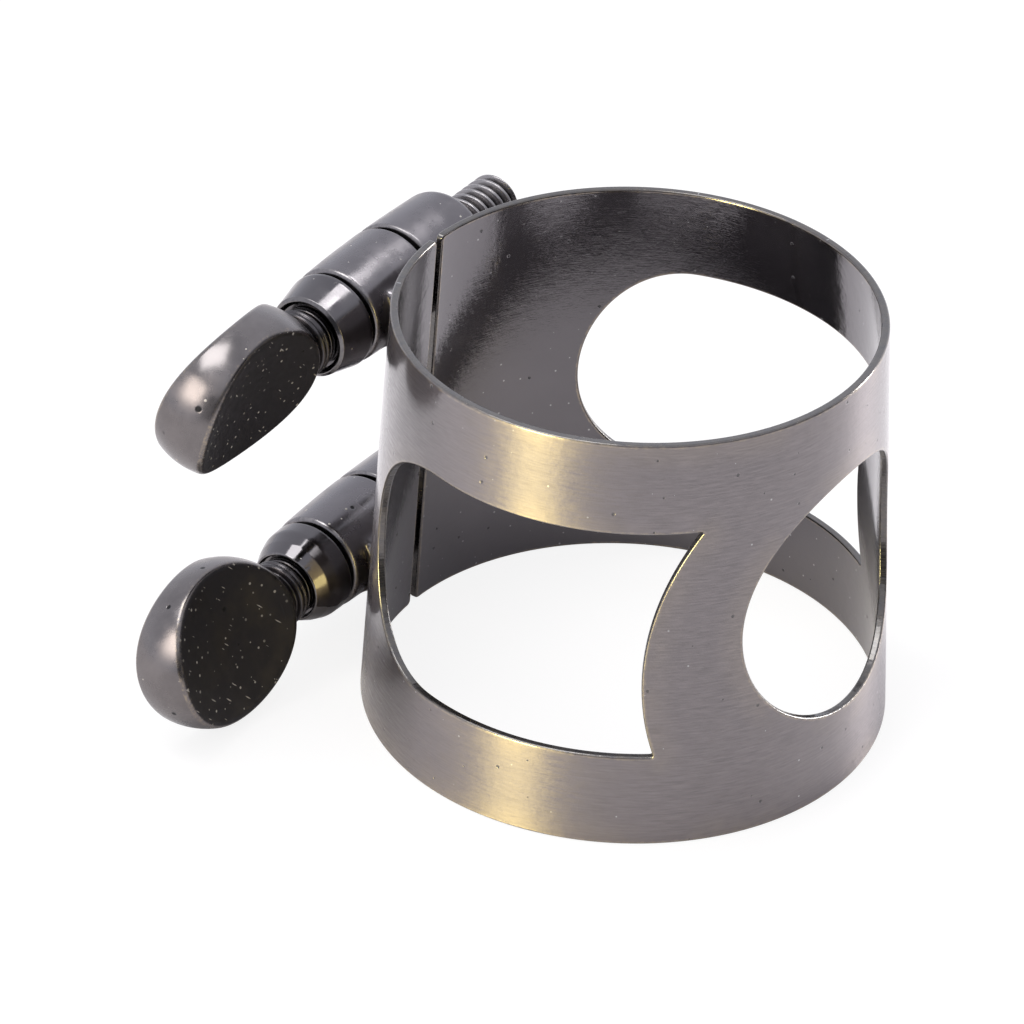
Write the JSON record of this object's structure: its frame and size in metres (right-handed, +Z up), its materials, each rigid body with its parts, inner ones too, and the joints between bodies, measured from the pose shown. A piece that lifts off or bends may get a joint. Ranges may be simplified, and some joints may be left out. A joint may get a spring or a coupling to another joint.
{
  "type": "saxophone ligature",
  "caption": "Slit conical metal band with cut-out windows and two thumb screws, which clamps a reed to a saxophone mouthpiece.",
  "frame": {"origin": "on the band's axis, in the plane of its wide rim", "axes": "+Z up the band's axis from the wide rim to the narrow rim, +Y out through the slit, screws along X with their thumb heads towards -X"},
  "size_m": [0.0345, 0.034, 0.0251],
  "materials": {
    "brushed_gunmetal": "black nickel over brass, brushed",
    "polished_gunmetal": "black nickel over brass, polished",
    "dark_gunmetal": "black nickel over brass, polished",
    "threaded_rod": "black nickel over brass, rolled thread"
  },
  "bodies": {
    "clamp_band": {"band": "brushed_gunmetal", "upper_near_barrel": "polished_gunmetal", "upper_far_barrel": "polished_gunmetal", "lower_near_barrel": "polished_gunmetal", "lower_far_barrel": "polished_gunmetal"},
    "upper_bell_body": {"upper_bell": "polished_gunmetal"},
    "upper_screw": {"upper_thumb_head": "dark_gunmetal", "upper_screw_rod": "threaded_rod"},
    "lower_bell_body": {"lower_bell": "polished_gunmetal"},
    "lower_screw": {"lower_thumb_head": "dark_gunmetal", "lower_screw_rod": "threaded_rod"}
  },
  "joints": [
    {"name": "upper_bell_slide", "type": "slide", "parent": "clamp_band", "child": "upper_bell_body", "axis": [-1, 0, 0], "range_m": [0, 0.0065]},
    {"name": "upper_screw_turn", "type": "hinge", "parent": "upper_bell_body", "child": "upper_screw", "pos_m": [0, 0.01566, 0.02065], "axis": [-1, 0, 0], "range_deg": [0, 3600]},
    {"name": "lower_bell_slide", "type": "slide", "parent": "clamp_band", "child": "lower_bell_body", "axis": [-1, 0, 0], "range_m": [0, 0.0065]},
    {"name": "lower_screw_turn", "type": "hinge", "parent": "lower_bell_body", "child": "lower_screw", "pos_m": [0, 0.0167, 0.00452], "axis": [-1, 0, 0], "range_deg": [0, 3600]}
  ],
  "couplings": [
    {"joint": "upper_screw_turn", "follows": "upper_bell_slide", "rad_per_m": 9666.4},
    {"joint": "lower_screw_turn", "follows": "lower_bell_slide", "rad_per_m": 9666.4}
  ]
}
